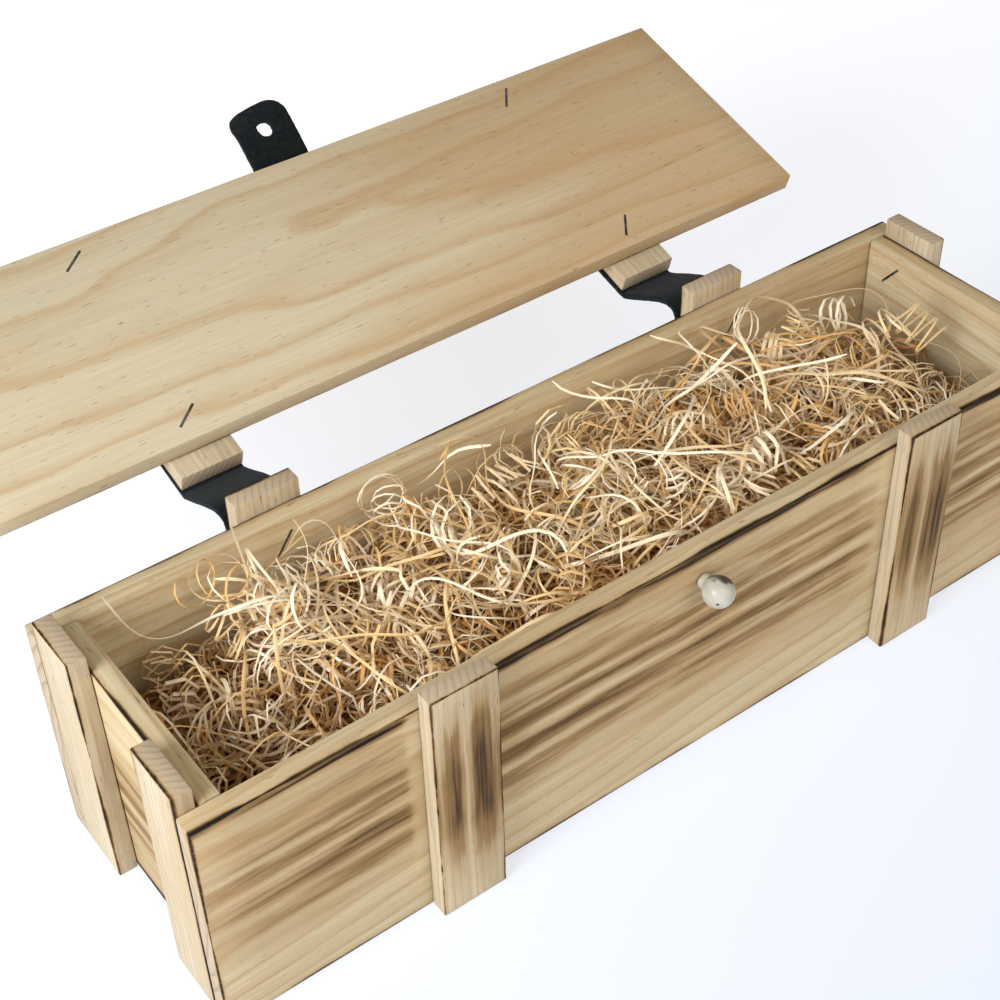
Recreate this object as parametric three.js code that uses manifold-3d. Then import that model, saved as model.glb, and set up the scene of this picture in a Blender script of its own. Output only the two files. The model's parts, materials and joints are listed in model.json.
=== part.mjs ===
// A wooden gift box for one bottle: flamed pine boards held by stapled battens, a lid on two felt
// hinge straps, a felt closing strap that buttons over a ball knob, and a nest of wood wool.
// Millimetres, +Z up. The origin is the middle of the box's underside, +X runs along the box and
// the back, with the hinge straps, is at +Y. The lid stands open.
import * as THREE from "three";
import { mergeVertices } from "three/addons/utils/BufferGeometryUtils.js";
import Module from "manifold-3d";

const wasm = await Module();
wasm.setup();

// ---- driving dimensions ----
const LENGTH = 394; // over the end battens
const DEPTH = 109.5; // over the front and back panels
const HEIGHT = 96.5; // of the four side panels
const BOARD = 8; // thickness of the box's boards
const GAP = 0.3; // between two pieces that touch

const BATTEN_WIDTH = 26;
const BATTEN_THICK = 7.4;
const BATTEN_INSET = 80; // from the box's end to the outer edge of a front, back or lid batten
const BATTEN_RISE = 7.7; // of the upright battens above the panels

const LID_THICK = 7.8;
const LID_SIDE_CLEARANCE = 0.5; // to the end battens
const LID_FRONT_CLEARANCE = 0.4;
const LID_BACK_CLEARANCE = 2.2; // room for the lid's rear edge to swing past the back battens
const LID_OPEN = THREE.MathUtils.degToRad(163);
const HINGE_Y = DEPTH / 2 + 22.8; // the straps bend about this line, behind the box
const HINGE_Z = HEIGHT - 1.9;

const STAPLE_CROWN = 12;
const STAPLE_WIRE = 1;
const STAPLE_PROUD = 0.1; // of the crown above the wood that it is driven into
const STAPLE_LEG = 13;
const STAPLE_EDGE = 10.5; // from a board's edge to a staple's middle
const STAPLE_LOW = 20; // height of the lower staples

const KNOB_Z = 83.8;
const KNOB_RADIUS = 5.8;
const KNOB_REACH = 8.2; // from the front panel to the ball's centre
const KNOB_NECK = 3;
const SCREW_RADIUS = 1.3;
const SCREW_HEAD = 3.4;
const SCREW_BITE = 6; // length of thread inside the knob

const FELT = 3;
const STRAP_LOW = 24; // the hinge straps' lower end on the back battens
const STRAP_BEND = 84; // where they leave the back battens
const STRAP_RISE = 16; // reach of the bend above that
const STRAP_DRAW = [-15, 5.5]; // reach of the bend from the lid battens, towards the box and up
const STRAP_PAST_LID = 1.2; // straight length past the end of a lid batten
const STRAP_ON_LID = 48; // length lying on a lid batten
const TAB_ROOT = 45; // length of the closing strap on the lid
const TAB_LENGTH = 32.5; // of its free end
const TAB_CORNER = 8;
const TAB_HOLE = 3.3; // radius
const TAB_HOLE_AT = 20.5; // from the fold line
const TAB_FOLD_DROP = 0.6; // the fold line lies this far under the felt
const TAB_CURL = THREE.MathUtils.degToRad(25);

const WOOL_MARGIN = 4; // to the box's walls
// The wool's top outline, as shares of its half length and heights above the floor.
const WOOL_TOP = [
  [-1, 56],
  [-0.72, 67],
  [-0.3, 76],
  [0.1, 78],
  [0.5, 73],
  [0.8, 64],
  [1, 54],
];

const RIGHT = new THREE.Vector3(1, 0, 0);
const BACK = new THREE.Vector3(0, 1, 0);
const UP = new THREE.Vector3(0, 0, 1);

// ---- places worked out from the dimensions ----
const front = -DEPTH / 2;
const back = DEPTH / 2;
const battenX = LENGTH / 2 - BATTEN_INSET - BATTEN_WIDTH / 2; // middle of a right batten
const lidUnder = HEIGHT + GAP; // the closed lid's inner face
const lidTop = lidUnder + LID_THICK;
const lidFront = front + LID_FRONT_CLEARANCE;
const lidBack = back - LID_BACK_CLEARANCE;
const lidBattenTop = lidTop + GAP + BATTEN_THICK;
const lidBattenBack = back + BATTEN_THICK - 1;

// ---- materials ----
const material = (color, roughness, metalness = 0) =>
  new THREE.MeshStandardMaterial({ color, roughness, metalness });
const pine = material(0xd9c095, 0.75);
const flamedPine = material(0xb89468, 0.8);
const steel = material(0x55524c, 0.45, 0.8);
const felt = material(0x17191a, 0.95);
const beech = material(0xcdbb98, 0.55);
const wool = material(0xcfa864, 0.85);

// ---- solids ----
function solidOf(geometry) {
  const bare = geometry.clone().deleteAttribute("normal").deleteAttribute("uv");
  const merged = mergeVertices(bare, 1e-4);
  return new wasm.Manifold(
    new wasm.Mesh({
      numProp: 3,
      vertProperties: merged.attributes.position.array,
      triVerts: new Uint32Array(merged.index.array),
    }),
  );
}

function geometryOf(solid) {
  const mesh = solid.getMesh();
  const geometry = new THREE.BufferGeometry();
  geometry.setAttribute(
    "position",
    new THREE.BufferAttribute(mesh.vertProperties, 3),
  );
  geometry.setIndex(new THREE.BufferAttribute(mesh.triVerts, 1));
  geometry.computeVertexNormals();
  return geometry;
}

function block([x0, y0, z0], [x1, y1, z1]) {
  return new THREE.BoxGeometry(x1 - x0, y1 - y0, z1 - z0).translate(
    (x0 + x1) / 2,
    (y0 + y1) / 2,
    (z0 + z1) / 2,
  );
}

// An outline of (y, z) points, made into a bar along X.
function barAlongX(points, x0, x1) {
  const outline = new THREE.Shape(points);
  const bar = new THREE.ExtrudeGeometry(outline, {
    depth: x1 - x0,
    bevelEnabled: false,
  });
  return bar
    .applyMatrix4(new THREE.Matrix4().makeBasis(BACK, UP, RIGHT))
    .translate(x0, 0, 0);
}

// ---- the scene graph: the box, the lid in its closed place inside a turned group, and the tab ----
const box = new THREE.Group();
const lidSwing = new THREE.Group();
lidSwing.position.set(0, HINGE_Y, HINGE_Z);
lidSwing.rotation.x = -LID_OPEN;
const lid = new THREE.Group();
lid.position.set(0, -HINGE_Y, -HINGE_Z);
const tab = new THREE.Group();
tab.position.set(0, front, lidTop + GAP - TAB_FOLD_DROP);
tab.rotation.x = TAB_CURL;
box.add(lidSwing);
lidSwing.add(lid);
lid.add(tab);

// Pieces wait here with the holes to cut in them, and become meshes at the end.
const pieces = new Map();
function piece(name, group, stuff, geometry) {
  pieces.set(name, { group, stuff, geometry, holes: [] });
}

// ---- staples: a crown sunk in the panel's inner face and two legs into the batten behind it ----
function staple(name, group, panel, batten, middle, inward, crown) {
  const half = STAPLE_CROWN / 2;
  const outline = new THREE.Shape([
    new THREE.Vector2(-half, STAPLE_PROUD),
    new THREE.Vector2(-half, -STAPLE_LEG),
    new THREE.Vector2(-half + STAPLE_WIRE, -STAPLE_LEG),
    new THREE.Vector2(-half + STAPLE_WIRE, STAPLE_PROUD - STAPLE_WIRE),
    new THREE.Vector2(half - STAPLE_WIRE, STAPLE_PROUD - STAPLE_WIRE),
    new THREE.Vector2(half - STAPLE_WIRE, -STAPLE_LEG),
    new THREE.Vector2(half, -STAPLE_LEG),
    new THREE.Vector2(half, STAPLE_PROUD),
  ]);
  const across = new THREE.Vector3().crossVectors(crown, inward);
  const place = new THREE.Matrix4()
    .makeBasis(crown, inward, across)
    .setPosition(middle);
  const wire = new THREE.ExtrudeGeometry(outline, {
    depth: STAPLE_WIRE,
    bevelEnabled: false,
  });
  wire.translate(0, 0, -STAPLE_WIRE / 2).applyMatrix4(place);
  piece(name, group, steel, wire);
  const room = STAPLE_WIRE + 2 * GAP;
  for (const side of [-1, 1]) {
    const hole = new THREE.BoxGeometry(room, 2 * STAPLE_LEG + 2, room);
    hole.translate(side * (half - STAPLE_WIRE / 2), 0, 0).applyMatrix4(place);
    pieces.get(panel).holes.push(hole);
    pieces.get(batten).holes.push(hole);
  }
  const sunk = STAPLE_WIRE - STAPLE_PROUD + GAP;
  const groove = new THREE.BoxGeometry(STAPLE_CROWN + 2 * GAP, 2 * sunk, room);
  pieces.get(panel).holes.push(groove.applyMatrix4(place));
}

// A staple leans from the direction along the board towards the direction across it.
function leaning(along, across, degrees) {
  const angle = THREE.MathUtils.degToRad(degrees);
  return along
    .clone()
    .multiplyScalar(Math.cos(angle))
    .addScaledVector(across, Math.sin(angle));
}

// ---- panels ----
const insideX = LENGTH / 2 - BATTEN_THICK - BOARD;
const insideY = DEPTH / 2 - BOARD;
piece(
  "front_panel",
  box,
  flamedPine,
  block([-LENGTH / 2, front, 0], [LENGTH / 2, front + BOARD, HEIGHT]),
);
piece(
  "back_panel",
  box,
  flamedPine,
  block([-LENGTH / 2, back - BOARD, 0], [LENGTH / 2, back, HEIGHT]),
);
for (const [name, side] of [
  ["left_end_panel", -1],
  ["right_end_panel", 1],
]) {
  const panel = new THREE.BoxGeometry(BOARD, 2 * (insideY - GAP), HEIGHT);
  panel.translate(side * (insideX + BOARD / 2), 0, HEIGHT / 2);
  piece(name, box, flamedPine, panel);
}
piece(
  "bottom_panel",
  box,
  pine,
  block([-insideX + GAP, -insideY + GAP, 0], [insideX - GAP, insideY - GAP, BOARD]),
);

// ---- upright battens on the front and back, each with an upper and a lower staple ----
const battenHeight = HEIGHT + BATTEN_RISE;
for (const [face, facing] of [
  ["front", -1],
  ["back", 1],
]) {
  for (const [side, x] of [
    ["left", -battenX],
    ["right", battenX],
  ]) {
    const name = `${face}_${side}_batten`;
    const batten = new THREE.BoxGeometry(
      BATTEN_WIDTH,
      BATTEN_THICK - GAP,
      battenHeight,
    );
    const middle = DEPTH / 2 + (BATTEN_THICK + GAP) / 2;
    batten.translate(x, facing * middle, battenHeight / 2);
    piece(name, box, flamedPine, batten);
    for (const [which, z] of [
      ["upper", HEIGHT - STAPLE_EDGE],
      ["lower", STAPLE_LOW],
    ])
      staple(
        `staple_${face}_${side}_${which}`,
        box,
        `${face}_panel`,
        name,
        new THREE.Vector3(x, facing * insideY, z),
        BACK.clone().multiplyScalar(-facing),
        leaning(RIGHT, UP, 54),
      );
  }
}

// ---- upright battens on the two ends, in the recesses beside the long panels ----
const endBattenY = insideY - BATTEN_WIDTH / 2;
for (const [end, side] of [
  ["left", -1],
  ["right", 1],
]) {
  for (const [place, y] of [
    ["front", -endBattenY],
    ["rear", endBattenY],
  ]) {
    const name = `${end}_end_${place}_batten`;
    const batten = new THREE.BoxGeometry(
      BATTEN_THICK - GAP,
      BATTEN_WIDTH - 2 * GAP,
      battenHeight,
    );
    const middle = (LENGTH - BATTEN_THICK + GAP) / 2;
    batten.translate(side * middle, y, battenHeight / 2);
    piece(name, box, flamedPine, batten);
    for (const [which, z] of [
      ["upper", HEIGHT - STAPLE_EDGE],
      ["lower", STAPLE_LOW],
    ])
      staple(
        `staple_${end}_end_${place}_${which}`,
        box,
        `${end}_end_panel`,
        name,
        new THREE.Vector3(side * insideX, y, z),
        RIGHT.clone().multiplyScalar(-side),
        leaning(BACK, UP, -50),
      );
  }
}

// ---- the lid with its two battens, in the closed place ----
const lidHalf = LENGTH / 2 - BATTEN_THICK - LID_SIDE_CLEARANCE;
piece(
  "lid_panel",
  lid,
  pine,
  block([-lidHalf, lidFront, lidUnder], [lidHalf, lidBack, lidTop]),
);
for (const [side, x, lean] of [
  ["left", -battenX, 38],
  ["right", battenX, 55],
]) {
  const name = `lid_${side}_batten`;
  piece(
    name,
    lid,
    flamedPine,
    block(
      [x - BATTEN_WIDTH / 2, lidFront, lidTop + GAP],
      [x + BATTEN_WIDTH / 2, lidBattenBack, lidBattenTop],
    ),
  );
  for (const [place, y] of [
    ["front", lidFront + STAPLE_EDGE],
    ["rear", lidBack - STAPLE_EDGE],
  ])
    staple(
      `staple_lid_${side}_${place}`,
      lid,
      "lid_panel",
      name,
      new THREE.Vector3(x, y, lidUnder),
      UP.clone().negate(),
      leaning(RIGHT, BACK, -lean),
    );
}

// ---- the ball knob and the screw that holds it from inside ----
const neckEnd = KNOB_REACH - Math.sqrt(KNOB_RADIUS ** 2 - KNOB_NECK ** 2);
const neckAngle = Math.asin(KNOB_NECK / KNOB_RADIUS);
const boreRadius = SCREW_RADIUS + GAP;
const knobProfile = [
  new THREE.Vector2(0, SCREW_BITE + GAP),
  new THREE.Vector2(boreRadius, SCREW_BITE + GAP),
  new THREE.Vector2(boreRadius, GAP),
  new THREE.Vector2(KNOB_NECK, GAP),
  new THREE.Vector2(KNOB_NECK, neckEnd),
];
const ballSteps = 11;
for (let i = 1; i <= ballSteps; i++) {
  const angle = neckAngle + ((Math.PI - neckAngle) * i) / ballSteps;
  const radius = i === ballSteps ? 0 : KNOB_RADIUS * Math.sin(angle);
  knobProfile.push(
    new THREE.Vector2(radius, KNOB_REACH - KNOB_RADIUS * Math.cos(angle)),
  );
}
// A profile is turned about the Y axis; half a turn about Z points it out of the front panel.
const turned = (profile, sides) =>
  new THREE.LatheGeometry(profile, sides)
    .rotateZ(Math.PI)
    .translate(0, front, KNOB_Z);
piece("knob", box, beech, turned(knobProfile, 24));
const screwProfile = [
  [0, -BOARD - 2 - GAP],
  [SCREW_HEAD, -BOARD - 2 - GAP],
  [SCREW_HEAD, -BOARD - GAP],
  [SCREW_RADIUS, -BOARD - GAP],
  [SCREW_RADIUS, SCREW_BITE],
  [0, SCREW_BITE],
].map(([radius, reach]) => new THREE.Vector2(radius, reach));
piece("knob_screw", box, steel, turned(screwProfile, 16));
const screwHole = new THREE.CylinderGeometry(
  boreRadius,
  boreRadius,
  4 * BOARD,
  16,
);
pieces.get("front_panel").holes.push(screwHole.translate(0, front, KNOB_Z));

// ---- felt hinge straps: up the back battens, over in a slack bend, and along the lid battens ----
const openPoint = (y, z) => {
  const point = new THREE.Vector2(y - HINGE_Y, z - HINGE_Z);
  point.rotateAround(new THREE.Vector2(), -LID_OPEN);
  return point.add(new THREE.Vector2(HINGE_Y, HINGE_Z));
};
const strapY = back + BATTEN_THICK + GAP + FELT / 2;
const strapFoot = new THREE.Vector2(strapY, STRAP_LOW);
const strapBend = new THREE.Vector2(strapY, STRAP_BEND);
const strapLidZ = lidBattenTop + GAP + FELT / 2;
const strapLid = openPoint(lidBattenBack + STRAP_PAST_LID, strapLidZ);
const strapEnd = openPoint(lidBattenBack - STRAP_ON_LID, strapLidZ);
const strapRoute = new THREE.CurvePath();
strapRoute.add(new THREE.LineCurve(strapFoot, strapBend));
strapRoute.add(
  new THREE.CubicBezierCurve(
    strapBend,
    strapBend.clone().add(new THREE.Vector2(0, STRAP_RISE)),
    strapLid.clone().add(new THREE.Vector2(...STRAP_DRAW)),
    strapLid,
  ),
);
strapRoute.add(new THREE.LineCurve(strapLid, strapEnd));
const bendSteps = 22;
const strapMiddle = [strapFoot];
for (let i = 0; i <= bendSteps; i++)
  strapMiddle.push(strapRoute.curves[1].getPoint(i / bendSteps));
strapMiddle.push(strapEnd);
const strapSide = (side) =>
  strapMiddle.map((point, i) => {
    const before = strapMiddle[Math.max(i - 1, 0)];
    const after = strapMiddle[Math.min(i + 1, strapMiddle.length - 1)];
    const way = after.clone().sub(before).normalize();
    const sideways = new THREE.Vector2(-way.y, way.x);
    return point.clone().addScaledVector(sideways, (side * FELT) / 2);
  });
const strapOutline = [...strapSide(-1), ...strapSide(1).reverse()];
for (const [name, x] of [
  ["hinge_strap_left", -battenX],
  ["hinge_strap_right", battenX],
])
  piece(
    name,
    box,
    felt,
    barAlongX(strapOutline, x - BATTEN_WIDTH / 2, x + BATTEN_WIDTH / 2),
  );

// ---- felt closing strap: its root on the lid's outer face, and the free tab with a buttonhole ----
piece(
  "closing_strap_root",
  lid,
  felt,
  block(
    [-BATTEN_WIDTH / 2, front + GAP, lidTop + GAP],
    [BATTEN_WIDTH / 2, front + TAB_ROOT, lidTop + GAP + FELT],
  ),
);
const tabHalf = BATTEN_WIDTH / 2;
const tabOutline = new THREE.Shape();
tabOutline.moveTo(-tabHalf, -GAP);
tabOutline.lineTo(-tabHalf, TAB_CORNER - TAB_LENGTH);
tabOutline.absarc(
  TAB_CORNER - tabHalf,
  TAB_CORNER - TAB_LENGTH,
  TAB_CORNER,
  Math.PI,
  1.5 * Math.PI,
);
tabOutline.absarc(
  tabHalf - TAB_CORNER,
  TAB_CORNER - TAB_LENGTH,
  TAB_CORNER,
  1.5 * Math.PI,
  2 * Math.PI,
);
tabOutline.lineTo(tabHalf, -GAP);
const buttonhole = new THREE.Path();
buttonhole.absarc(0, -TAB_HOLE_AT, TAB_HOLE, 0, 2 * Math.PI);
tabOutline.holes.push(buttonhole);
piece(
  "closing_strap_tab",
  tab,
  felt,
  new THREE.ExtrudeGeometry(tabOutline, {
    depth: FELT,
    bevelEnabled: false,
    curveSegments: 8,
  }).translate(0, 0, TAB_FOLD_DROP),
);

// ---- the nest of wood wool, heaped in the middle and lower at both ends ----
const woolHalf = insideX - WOOL_MARGIN;
const woolTop = new THREE.SplineCurve(
  WOOL_TOP.map(([share, z]) => new THREE.Vector2(share * woolHalf, z)),
);
const woolSteps = 24;
const woolOutline = new THREE.Shape([
  new THREE.Vector2(woolHalf, BOARD + GAP),
  ...woolTop.getPoints(woolSteps).reverse(),
  new THREE.Vector2(-woolHalf, BOARD + GAP),
]);
const woolWidth = 2 * (insideY - WOOL_MARGIN);
piece(
  "wood_wool",
  box,
  wool,
  new THREE.ExtrudeGeometry(woolOutline, {
    depth: woolWidth,
    bevelEnabled: false,
  })
    .rotateX(Math.PI / 2)
    .translate(0, woolWidth / 2, 0),
);

// ---- every piece becomes its own mesh, with its holes cut ----
for (const [name, { group, stuff, geometry, holes }] of pieces) {
  const cut = holes.reduce(
    (solid, hole) => solid.subtract(solidOf(hole)),
    solidOf(geometry),
  );
  const mesh = new THREE.Mesh(geometryOf(cut), stuff);
  mesh.name = name;
  group.add(mesh);
}

export default box;
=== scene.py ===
# A flamed pine gift box for one bottle, standing open on a nest of wood wool.
# Everything is in metres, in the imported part's own frame: the box runs along X, its front
# faces -Y, and the lid stands open behind it on two felt straps.
import json
import math
import random

import bmesh
import bpy
import numpy as np
from mathutils import Matrix, Vector, noise


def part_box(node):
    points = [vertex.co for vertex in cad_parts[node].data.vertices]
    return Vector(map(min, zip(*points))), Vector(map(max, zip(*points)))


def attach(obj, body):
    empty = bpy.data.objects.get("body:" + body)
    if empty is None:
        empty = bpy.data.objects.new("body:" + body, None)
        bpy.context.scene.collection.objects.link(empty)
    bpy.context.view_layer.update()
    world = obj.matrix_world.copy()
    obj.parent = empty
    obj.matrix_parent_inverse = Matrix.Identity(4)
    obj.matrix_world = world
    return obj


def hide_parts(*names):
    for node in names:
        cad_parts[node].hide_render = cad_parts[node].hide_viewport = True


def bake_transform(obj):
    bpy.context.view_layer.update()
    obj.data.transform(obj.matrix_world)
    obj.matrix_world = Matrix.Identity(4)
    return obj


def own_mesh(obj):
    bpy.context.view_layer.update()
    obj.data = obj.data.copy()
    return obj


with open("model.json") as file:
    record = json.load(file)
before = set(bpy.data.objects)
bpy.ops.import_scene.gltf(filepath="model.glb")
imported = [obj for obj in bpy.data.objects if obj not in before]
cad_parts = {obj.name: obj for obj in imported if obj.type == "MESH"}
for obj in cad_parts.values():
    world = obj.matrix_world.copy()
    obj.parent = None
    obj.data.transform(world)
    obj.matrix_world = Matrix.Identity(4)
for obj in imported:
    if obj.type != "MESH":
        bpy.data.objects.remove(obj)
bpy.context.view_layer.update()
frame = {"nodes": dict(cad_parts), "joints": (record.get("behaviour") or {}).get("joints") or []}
bpy.ops.object.select_all(action="DESELECT")

# ---- The box's side panels ----
# Planed pine boards 8 mm thick, sawn to length and eased by hand. A torch passed along them
# between the battens has browned their soft grain in bands and charred their outer arrises.
MM = 0.001
STATIONS = 23  # cuts along a board, so that its edges can waver
EASED = 0.55 * MM  # round on a board's edges
NIBBLED = 0.22 * MM  # how far the brushed edges are worn back here and there


def edit_board(board, choose):
    """The edges of a board that choose() takes are left selected in edit mode."""
    bpy.ops.object.mode_set(mode="EDIT")
    bpy.ops.mesh.select_mode(type="EDGE")
    bpy.ops.mesh.select_all(action="DESELECT")
    mesh = bmesh.from_edit_mesh(board.data)
    for edge in mesh.edges:
        edge.select_set(choose(edge))
    bmesh.update_edit_mesh(board.data)


def sawn_board(name, corners, along, outward, number, flame):
    """A planed board filling the box between two corners, with its grain along one axis and
    its outer face towards another. Its number seeds its figure; flame is how hard it is burnt."""
    low, high = corners
    middle, size = (low + high) / 2, high - low
    bpy.ops.mesh.primitive_cube_add(size=1, location=middle, scale=size)
    bpy.ops.object.transform_apply(location=True, rotation=True, scale=True)
    board = bpy.context.object
    board.name = name
    along, outward = Vector(along), Vector(outward)
    across = outward.cross(along)

    def runs_along(edge):
        return abs((edge.verts[0].co - edge.verts[1].co).normalized().dot(along)) > 0.9

    edit_board(board, runs_along)
    bpy.ops.mesh.subdivide(number_cuts=STATIONS)
    bpy.ops.object.mode_set(mode="OBJECT")
    ease = board.modifiers.new("eased edges", "BEVEL")
    ease.width = EASED
    ease.segments = 2
    ease.limit_method = "ANGLE"
    ease.angle_limit = math.radians(40)
    bpy.ops.object.modifier_apply(modifier=ease.name)
    for vertex in board.data.vertices:
        inward = middle - vertex.co
        inward -= along * inward.dot(along)
        worn = noise.noise(vertex.co * 130 + Vector((number, 0, 0)))
        vertex.co += inward.normalized() * NIBBLED * max(0.0, worn)
    mark_board(board, middle, (along, across, outward), number, flame)
    bpy.ops.object.shade_smooth_by_angle(angle=math.radians(35))
    board.select_set(False)
    return board


def mark_board(board, middle, axes, number, flame):
    """What the pine materials read: each point's place on its board (along the grain, across
    it, and out through it), the board's half sizes, and its number and flame."""
    points = np.array([v.co for v in board.data.vertices]) - np.array(middle)
    place = points @ np.array(axes).T
    half = np.abs(place).max(axis=0)
    facts = {
        "board_place": place,
        "board_half": np.tile(half, (len(place), 1)),
        "board_mark": np.tile((number, flame, 0), (len(place), 1)),
    }
    for title, values in facts.items():
        layer = board.data.attributes.new(title, "FLOAT_VECTOR", "POINT")
        layer.data.foreach_set("vector", values.astype(np.float32).ravel())


def tint(red, green, blue):
    """A colour given in 0 to 255, as the linear colour that the shaders take."""
    share = [c / 255 for c in (red, green, blue)]
    linear = [c / 12.92 if c <= 0.04045 else ((c + 0.055) / 1.055) ** 2.4 for c in share]
    return (*linear, 1)


def node(tree, kind, sockets=(), **settings):
    """One shader node: its settings, and its inputs set to a value or joined to another node."""
    made = tree.nodes.new("ShaderNode" + kind)
    for title, value in settings.items():
        setattr(made, title, value)
    for title, value in dict(sockets).items():
        if isinstance(value, bpy.types.NodeSocket):
            tree.links.new(value, made.inputs[title])
        else:
            made.inputs[title].default_value = value
    return made


def sums(tree, operation, *values):
    return node(tree, "Math", enumerate(values), operation=operation).outputs[0]


def vectors(tree, operation, *values):
    return node(tree, "VectorMath", enumerate(values), operation=operation).outputs["Vector"]


def speckle(tree, place, stretch, detail=2.0, rough=0.5):
    """Noise from 0 to 1, of stretch cycles a metre along, across and through."""
    grain = vectors(tree, "MULTIPLY", place, stretch)
    made = node(tree, "TexNoise", {"Vector": grain, "Scale": 1.0, "Detail": detail, "Roughness": rough})
    return made.outputs["Fac"]


def between(tree, value, low, high, out_low=0.0, out_high=1.0):
    """A value from low to high, turned smoothly into out_low to out_high."""
    facts = {"Value": value, "From Min": low, "From Max": high, "To Min": out_low, "To Max": out_high}
    return node(tree, "MapRange", facts, interpolation_type="SMOOTHSTEP").outputs["Result"]


def ramp(tree, value, stops, smooth="B_SPLINE"):
    """A colour ramp through (place, colour or grey) stops."""
    made = node(tree, "ValToRGB", {0: value})
    made.color_ramp.interpolation = smooth
    points = made.color_ramp.elements
    while len(points) < len(stops):
        points.new(1.0)
    for point, (place, shade) in zip(points, sorted(stops, key=lambda stop: stop[0])):
        point.position = place
        point.color = shade if hasattr(shade, "__len__") else (shade, shade, shade, 1)
    return made.outputs["Color"]


def mixed(tree, share, first, second, blend="MIX"):
    made = node(tree, "Mix", data_type="RGBA", blend_type=blend)
    for title, value in (("Factor_Float", share), ("A_Color", first), ("B_Color", second)):
        socket = next(s for s in made.inputs if s.identifier == title)
        if isinstance(value, bpy.types.NodeSocket):
            tree.links.new(value, socket)
        else:
            socket.default_value = value
    return next(s for s in made.outputs if s.identifier == "Result_Color")


def shared_effect(name, inputs, outputs):
    """An empty node group with its sockets made; returns it with its input and output nodes."""
    tree = bpy.data.node_groups.new(name, "ShaderNodeTree")
    for direction, sockets in (("INPUT", inputs), ("OUTPUT", outputs)):
        for title, kind in sockets:
            tree.interface.new_socket(title, in_out=direction, socket_type="NodeSocket" + kind)
    return tree, tree.nodes.new("NodeGroupInput").outputs, tree.nodes.new("NodeGroupOutput").inputs


def pine_figure():
    """Growth rings of a log sawn through by the board, its fibres, and its dark resin flecks."""
    tree, given, out = shared_effect(
        "pine figure",
        [("Place", "Vector"), ("Number", "Float"), ("Heart across", "Float"), ("Heart depth", "Float"),
         ("Slope", "Float"), ("Ring width", "Float"), ("Waver", "Float"), ("Deepening", "Float")],
        [("Late wood", "Float"), ("Fibre", "Float"), ("Fleck", "Float"), ("Cloud", "Float")],
    )
    shift = node(tree, "CombineXYZ", {0: sums(tree, "MULTIPLY", given["Number"], 0.37),
                                      1: sums(tree, "MULTIPLY", given["Number"], 0.71)}).outputs[0]
    place = vectors(tree, "ADD", given["Place"], shift)
    parts = node(tree, "SeparateXYZ", {0: given["Place"]}).outputs
    sway = speckle(tree, place, (7, 26, 26), 3, 0.55)
    ripple = speckle(tree, place, (38, 120, 120), 3, 0.6)
    waver = sums(tree, "MULTIPLY", sums(tree, "SUBTRACT", sway, 0.5), given["Waver"])
    small = sums(tree, "MULTIPLY", sums(tree, "SUBTRACT", ripple, 0.5), 2.2 * MM)
    waver = sums(tree, "ADD", waver, small)
    across = sums(tree, "ADD", sums(tree, "SUBTRACT", parts[1], given["Heart across"]), waver)
    depth = sums(tree, "ADD", parts[2], given["Heart depth"])
    depth = sums(tree, "ADD", depth, sums(tree, "MULTIPLY", parts[0], given["Slope"]))
    depth = sums(tree, "ADD", depth, waver)
    across2 = sums(tree, "MULTIPLY", across, across)
    radius = sums(tree, "SQRT", sums(tree, "ADD", across2, sums(tree, "MULTIPLY", depth, depth)))
    uneven = speckle(tree, vectors(tree, "MULTIPLY", given["Place"], (0.2, 1, 1)), (60, 60, 60), 1)
    turn = sums(tree, "ADD", sums(tree, "DIVIDE", radius, given["Ring width"]), uneven)
    phase = sums(tree, "FRACT", turn)
    late = ramp(tree, phase, [(0, 0.25), (0.1, 0.02), (0.5, 0.08), (0.78, 0.5), (0.9, 1), (0.97, 0.7),
                              (1, 0.3)], "LINEAR")
    tree.links.new(late, out["Late wood"])
    tree.links.new(speckle(tree, place, (26, 900, 900), 4, 0.6), out["Fibre"])
    dash = speckle(tree, place, (150, 1500, 1500), 1)
    tree.links.new(between(tree, dash, 0.69, 0.76), out["Fleck"])
    # Deepening shifts the cloud, and so the wood, towards the ring colour along the board; only the lid sets
    # it.
    deeper = sums(tree, "MULTIPLY", parts[0], given["Deepening"])
    tree.links.new(sums(tree, "ADD", speckle(tree, place, (5, 30, 30), 2), deeper), out["Cloud"])
    return tree


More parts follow.
